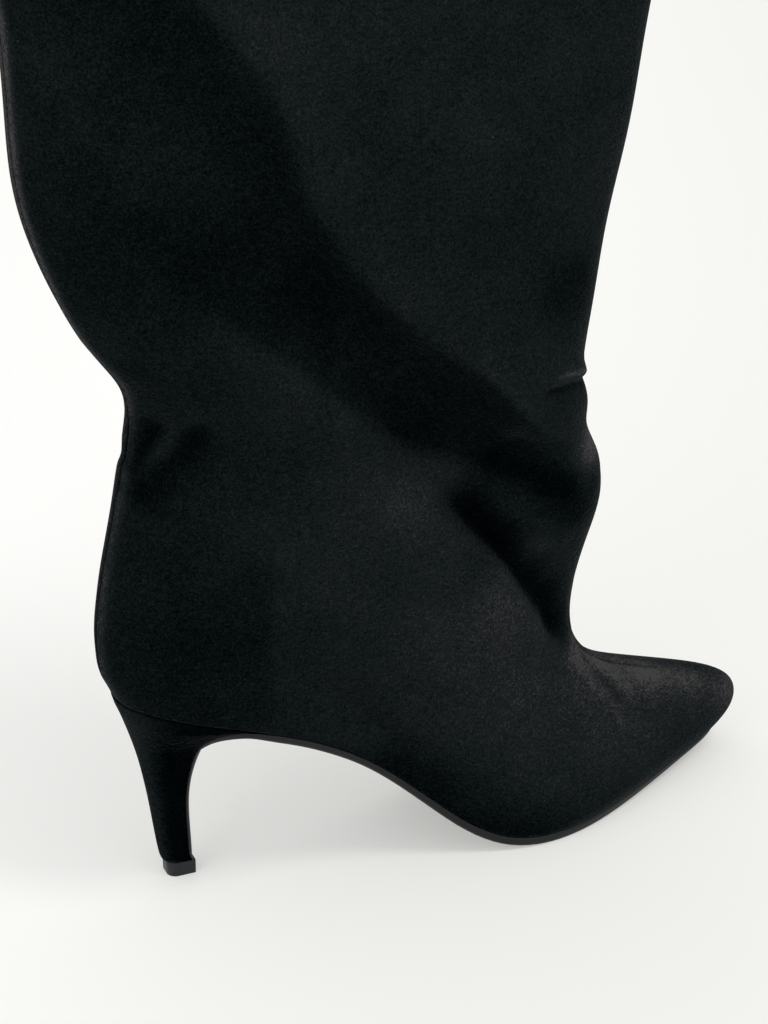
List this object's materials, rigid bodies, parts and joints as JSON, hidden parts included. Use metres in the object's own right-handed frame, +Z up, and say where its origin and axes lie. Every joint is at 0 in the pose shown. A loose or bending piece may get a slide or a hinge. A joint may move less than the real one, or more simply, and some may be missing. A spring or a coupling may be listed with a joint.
{
  "type": "tall boot",
  "caption": "Tall pull-on boot in black brushed fabric with a pointed toe, a slim covered heel and a wide shaft that slouches at the ankle.",
  "frame": {"origin": "middle of the heel's walking face, on the floor", "axes": "+X from heel to toe, +Y towards the inner side of the foot, +Z up the leg"},
  "size_m": [0.2785, 0.0852, 0.42],
  "materials": {
    "suede_cloth": "matt black suede-like nap",
    "heel_cover": "matt black suede-like nap",
    "lining": "fine black lining",
    "sole_rubber": "smooth black, satin edge",
    "lift_plastic": "smooth black, semi-gloss"
  },
  "bodies": {
    "root": {"upper": "suede_cloth", "insole": "lining", "outsole": "sole_rubber", "heel": "heel_cover", "top_lift": "lift_plastic"}
  },
  "joints": []
}
